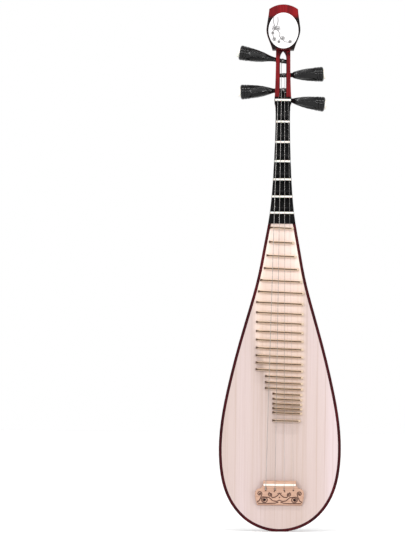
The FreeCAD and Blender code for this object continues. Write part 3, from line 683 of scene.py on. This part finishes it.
def string_route(number):
    """Route of one string in millimetres, from its anchor to its peg."""
    radius = STRINGS[number] / 2
    bridge_x = (2.5 - number) * SADDLE_SPACING
    nut_x = (2.5 - number) * NUT_SPACING
    joint = next(j for j in frame["joints"] if j["child"] == "peg_%d" % number)
    centre = Vector(joint["pos_m"]) / MM
    side = 1 if joint["axis"][0] > 0 else -1
    arrive_x = side * ARRIVE[number]
    points = [Vector((bridge_x, ANCHOR_END_Y, ANCHOR_Z)), Vector((bridge_x, MOUTH_Y, ANCHOR_Z + MOUTH_RISE)),
              Vector((bridge_x, SADDLE_STRING_Y, SADDLE_Z)), Vector((nut_x, NUT_STRING_Y, NUT_Z))]
    if centre.z < BOX_FLAT_TOP:
        for y in OVER_BLOCK_Y:
            share = (y - NUT_STRING_Y) / (centre.y - NUT_STRING_Y)
            points.append(Vector((nut_x + share * (arrive_x - nut_x), y, BOX_FLAT_TOP + radius + LYING_GAP)))
    last = points[-1]
    rise = joint["axis"][2] / abs(joint["axis"][0])
    to_y, to_z = centre.y - last.y, centre.z + rise * ARRIVE[number] - last.z
    gap = math.hypot(to_y, to_z)
    reach = shaft_radius(ARRIVE[number]) + radius + PEG_STRING_GAP
    angle = math.atan2(to_z, to_y) + math.asin(reach / gap)
    length = math.sqrt(gap ** 2 - reach ** 2)
    points.append(Vector((arrive_x, last.y + length * math.cos(angle), last.z + length * math.sin(angle))))
    return points


def make_string(number, material):
    """String from the bridge to its peg, with a twisted knot below the saddle."""
    radius = STRINGS[number] / 2
    points = string_route(number)
    route = rounded_route(points, BEND_RADIUS)
    piece = tube("cord_%d" % number, route, radius, material, ROOT, 12)
    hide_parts("string_%d" % number)
    low, high = points[1], points[2]
    along = (high - low).normalized()
    side = along.cross(Vector((1, 0, 0)))
    knot_radius = 2.1 * radius
    knot = []
    for step in range(int(KNOT_TURNS * KNOT_STEPS) + 1):
        turn = 2 * math.pi * step / KNOT_STEPS
        place = low + along * (0.5 + 2.4 * radius * step / KNOT_STEPS)
        knot.append(place + (Vector((1, 0, 0)) * math.cos(turn) + side * math.sin(turn)) * knot_radius)
    tube("knot_%d" % number, knot, radius, material, ROOT, 8)


# ---------------------------------------------------------------- bridge

def scroll(x, z, start, turns, outer, inner, tail):
    """Spiral line that ends in a straight-running tail, as a carver cuts a cloud scroll."""
    path = []
    steps = int(turns * 20)
    for step in range(steps + 1):
        share = step / steps
        angle = start + turns * 2 * math.pi * share
        radius = inner + (outer - inner) * share
        path.append((x + radius * math.cos(angle), z + radius * math.sin(angle)))
    return path + tail


def bridge_carving(x, z):
    """Depth of the carved lines on the bridge, 0 to 1, the same on both sides."""
    side = np.abs(x)
    lines = [scroll(28.5, 61.9, -1.2, 1.35, 6.6, 3.2, [(20, 66), (13, 60), (6, 58.5), (0, 61)]),
             scroll(38.6, 73.5, 2.2, 1.2, 4.6, 1.6, [(36, 66), (39, 60), (43, 57)]),
             scroll(17.6, 72.2, 0.4, 1.1, 4.2, 1.4, [(14, 66), (8, 67), (3, 71), (0, 75)]),
             [(2.8, 57), (8, 55.2), (20, 54.6), (41, 54.8)]]
    depth = np.zeros(x.shape)
    for line in lines:
        depth = np.maximum(depth, 1 - soft_step(distance_to_path(side, z, line), 0.5, 1.4))
    for centre_x, centre_z, radius in CARVED_PITS:
        distance = np.hypot(side - centre_x, z - centre_z)
        depth = np.maximum(depth, 1 - soft_step(distance, radius * 0.5, radius))
    return depth


def make_bridge(material, dark):
    """Carved bridge front on a fine grid, rounded over at its edges, with its sides down to the board."""
    columns, rows = 260, 150
    low, high = BRIDGE_SURFACE[0][0], BRIDGE_SURFACE[-1][0]
    heights = np.array([low + (high - low) * i / (rows - 1) for i in range(rows)])
    halves = np.array([smooth_value(BRIDGE_HALF, z) for z in heights])
    surface = np.array([smooth_value(BRIDGE_SURFACE, z) for z in heights])
    across = np.linspace(-1, 1, columns)
    x = halves[:, None] * across[None, :]
    z = np.repeat(heights[:, None], columns, 1)
    y = np.repeat(surface[:, None], columns, 1)
    carved = bridge_carving(x, z)
    edge = np.minimum(halves[:, None] - np.abs(x), np.minimum(z - low, high - z) + 0.4)
    round_over = BRIDGE_ROUND_DEPTH * (1 - soft_step(edge, 0, BRIDGE_ROUNDING)) ** 2
    holes = np.zeros(x.shape)
    for number in STRINGS:
        hole = np.hypot(x - (2.5 - number) * SADDLE_SPACING, z - ANCHOR_Z)
        holes = np.maximum(holes, 1 - soft_step(hole, 0.8, 1.5))
    from_dot = np.hypot(np.abs(x) - DOT[0], z - DOT[1])
    holes = np.maximum(holes, 1 - soft_step(from_dot, DOT[2] - 0.4, DOT[2] + 0.2))
    y = y + CARVING_DEPTH * carved + HOLE_DEPTH * holes + round_over
    points = [Vector((a, b, c)) * MM for a, b, c in zip(x.ravel(), y.ravel(), z.ravel())]
    faces = grid_faces(rows, columns)
    rim = (list(range(columns)) + [i * columns + columns - 1 for i in range(1, rows)]
           + [(rows - 1) * columns + j for j in range(columns - 2, -1, -1)]
           + [i * columns for i in range(rows - 2, 0, -1)])
    foot = len(points)
    points += [Vector((points[i].x, 0, points[i].z)) for i in rim]
    count = len(rim)
    faces += [(rim[i], foot + i, foot + (i + 1) % count, rim[(i + 1) % count]) for i in range(count)]
    piece = new_piece("carved_bridge", points, faces, material, ROOT)
    # Painted shade for the material: carved lines, pits, string holes and a ring round each plug's recess
    rings = 1 - soft_step(from_dot, DOT[2] + 0.3, DOT[2] + 1.1)
    tone = np.clip(0.9 * carved + holes + rings, 0, 1).ravel()
    point_values(piece, "carved", np.concatenate([tone, np.zeros(count)]))
    split_sharp(piece, 60)
    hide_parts("bridge")
    for name, sign in (("left", -1), ("right", 1)):
        make_dot("bridge_plug_" + name, sign * DOT[0], DOT[1], dark)


def make_dot(name, x, z, material):
    """Domed dark plug set into the bridge."""
    y = smooth_value(BRIDGE_SURFACE, z)
    rings = [(1, 0.8), (1, 0.1), (0.85, -0.25), (0.5, -0.45), (0.15, -0.5)]
    columns = 32
    points = []
    for share, lift in rings:
        radius = DOT[2] * share
        for column in range(columns):
            turn = 2 * math.pi * column / columns
            points.append(Vector((x + radius * math.cos(turn), y + lift, z + radius * math.sin(turn))) * MM)
    faces = [tuple(reversed(face)) for face in grid_faces(len(rings), columns, True)]
    faces.append(tuple((len(rings) - 1) * columns + column for column in range(columns)))
    new_piece(name, points, faces, material, ROOT)


# ---------------------------------------------------------------- head plate

def round_line(x, z, radius, count):
    """Closed circle as a polyline."""
    return [(x + radius * math.cos(a), z + radius * math.sin(a)) for a in np.linspace(0, 2 * math.pi, count)]


def blossom(x, z, size, turn):
    """Five round petals and a centre, as closed lines."""
    lines = []
    for petal in range(5):
        angle = turn + 2 * math.pi * petal / 5
        lines.append(round_line(x + size * math.cos(angle), z + size * math.sin(angle), 0.62 * size, 15))
    lines.append(round_line(x, z, 0.3 * size, 9))
    return lines


def plate_drawing(x, z):
    """Strength of the engraving: a flowering branch down the left side and along the bottom."""
    branches = [([(-18.6, 25), (-19.6, 18), (-18.2, 11), (-15.5, 5)], 0.75),
                ([(-11.2, 26), (-10.6, 19), (-11.6, 12), (-15.0, 5)], 0.75),
                ([(-15, 4), (-11, -1), (-8.2, -4), (-6.4, -7), (-8.2, -11), (-5, -15), (-1.5, -17.5)], 0.5),
                ([(-15, 4), (-20, -1), (-22.6, -6)], 0.5),
                ([(-20.5, -9), (-19, -13), (-17.5, -18)], 0.6),
                ([(-1.5, -17.5), (3, -22), (8, -22.5), (13, -24)], 0.45),
                ([(-5, -15), (-8.8, -19), (-8.6, -23)], 0.4)]
    tone = np.zeros(x.shape)
    for path, width in branches:
        line = 1 - soft_step(distance_to_path(x, z, path), width * 0.8, width + 0.65)
        tone = np.maximum(tone, 0.85 * line)
    flowers = [(-18.2, 4.5, 2.7, 0.3), (-10.6, 3.6, 2.7, 0.9), (-17.6, -17.0, 2.1, 0.9),
               (-1.4, -15.0, 2.6, 0.1), (13, -21.5, 1.8, 0.5), (-20.6, -5.2, 1.6, 1.2),
               (-8.7, -22, 1.5, 0.2)]
    for flower in flowers:
        for path in blossom(*flower):
            tone = np.maximum(tone, 1 - soft_step(distance_to_path(x, z, path), 0.3, 0.85))
    return tone


def make_plate(material):
    """Oval plate, slightly domed, with the branch cut into its front."""
    rings, columns = 90, 180
    radius = np.linspace(0.004, 1, rings)[:, None]
    turn = np.linspace(0, 2 * math.pi, columns, endpoint=False)[None, :]
    x = PLATE_HALF[0] * radius * np.cos(turn)
    z = PLATE_HALF[1] * radius * np.sin(turn)
    engraved = plate_drawing(x, z)
    y = PLATE_FRONT_Y + PLATE_DOME * radius ** 6 + ENGRAVING_DEPTH * engraved
    points = [Vector((a, b, PLATE_CENTRE_Z + c)) * MM for a, b, c in zip(x.ravel(), y.ravel(), z.ravel())]
    tones = list(engraved.ravel())
    back = [Vector((p.x, PLATE_BACK_Y * MM, p.z)) for p in points[-columns:]]
    points += back
    tones += [0] * columns
    faces = grid_faces(rings + 1, columns, True)
    faces.append(tuple(range(columns - 1, -1, -1)))
    faces.append(tuple(rings * columns + column for column in range(columns)))
    piece = new_piece("engraved_head_plate", points, faces, material, ROOT)
    point_values(piece, "engraved", tones)
    split_sharp(piece, 45)
    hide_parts("head_plate")


# ---------------------------------------------------------------- set

def make_camera():
    """Long lens square to the front, leaning slightly."""
    data = bpy.data.cameras.new("camera")
    data.sensor_width = 36
    data.lens = 18 / (VIEW_HEIGHT / 2 / CAMERA_DISTANCE)
    data.clip_end = 100
    camera = bpy.data.objects.new("camera", data)
    bpy.context.scene.collection.objects.link(camera)
    up = Vector((-LEAN, 0, 1)).normalized()
    right = Vector((up.z, 0, -up.x))
    turn = Matrix((right, up, Vector((0, -1, 0)))).transposed()
    camera.matrix_world = Matrix.Translation((CAMERA_X, -CAMERA_DISTANCE, CAMERA_Z)) @ turn.to_4x4()
    bpy.context.scene.camera = camera


def place_light(name, data, place, direction):
    """Put a light in the scene, shining along a direction."""
    light = bpy.data.objects.new(name, data)
    bpy.context.scene.collection.objects.link(light)
    light.location = place
    light.rotation_euler = Vector(direction).to_track_quat("-Z", "Y").to_euler()


def make_set():
    """White surroundings, a pale floor, and soft light from the front."""
    world = bpy.data.worlds.new("studio")
    world.use_nodes = True
    background = world.node_tree.nodes["Background"]
    background.inputs["Color"].default_value = (1, 1, 1, 1)
    background.inputs["Strength"].default_value = 1.0
    bpy.context.scene.world = world
    bpy.context.scene.view_settings.view_transform = "Standard"
    mesh = bpy.data.meshes.new("floor")
    corners = [(-1, -1), (1, -1), (1, 1), (-1, 1)]
    mesh.from_pydata([(FLOOR_HALF * x, FLOOR_HALF * y, 0) for x, y in corners], [], [(0, 1, 2, 3)])
    floor = bpy.data.objects.new("floor", mesh)
    bpy.context.scene.collection.objects.link(floor)
    shader = Shader("pale_floor", 0.7, 0.2)
    cloud = shader.noise(shader.stretched((3, 3, 3)), 1.0)
    shader.colour(shader.ramp(cloud, [(0, (0.93, 0.93, 0.93, 1)), (1, (0.97, 0.97, 0.97, 1))]))
    mesh.materials.append(shader.material)
    for name, direction, strength in SUNS:
        sun = bpy.data.lights.new(name, "SUN")
        sun.energy = strength
        sun.angle = SUN_WIDTH
        place_light(name, sun, (0, 0, 0), direction)
    for name, place, power in STRIPS:
        strip = bpy.data.lights.new(name, "AREA")
        strip.shape = "RECTANGLE"
        strip.size, strip.size_y = STRIP_SIZE
        strip.energy = power
        place_light(name, strip, place, Vector(STRIP_AIM) - Vector(place))


# ---------------------------------------------------------------- build

WOOD_BACK = hardwood("back_hardwood", paint(34, 5, 9), paint(56, 8, 14), paint(76, 16, 20))
# The last colour is the head's painted shade, for the plate's sides, chin, slot edges and lower corners
WOOD_HEAD = head_wood("head_hardwood", paint(70, 5, 9), paint(106, 10, 17), paint(128, 20, 22),
                      paint(16, 7, 7))
EBONY = ebony()
BONE = bone()
BAMBOO = bamboo("bamboo", paint(206, 184, 158), paint(222, 204, 180), paint(170, 140, 110))
BAMBOO_SKIN = bamboo("bamboo_skin", paint(66, 46, 34), paint(84, 60, 44), paint(50, 34, 26))

dress("neck_and_back", WOOD_BACK)
dress("peg_box", WOOD_HEAD)
dress("head_block", WOOD_HEAD)
dress("soundboard", soundboard_wood())
INNER_WOOD = hardwood("inner_spruce", paint(176, 148, 110), paint(194, 168, 130), paint(206, 182, 146))
for inner in ("sound_bar_upper", "sound_bar_lower", "sound_post"):
    dress(inner, INNER_WOOD)
dress("nut", BONE, 0.3)
dress("nut_block", EBONY, 0.5)
dress("bridge_saddle", BONE, 0.3)
dress("xiang_ridges", BONE, 0.3)
for index in range(1, 7):
    dress("xiang_%d" % index, EBONY, 0.5)
for index in range(1, 25):
    skin_crest(dress("pin_%02d" % index, BAMBOO, 0.35), BAMBOO_SKIN)

PEG_EBONY = peg_ebony()
WOUND = string_metal("wound_string", 900)
for index in (1, 2, 3, 4):
    make_peg(index, PEG_EBONY)
    make_winding(index, WOUND)
    make_string(index, WOUND)
    dress("peg_cap_%d" % index, BONE)
make_bridge(bridge_wood(), EBONY)
make_plate(plate_bone())
make_camera()
make_set()
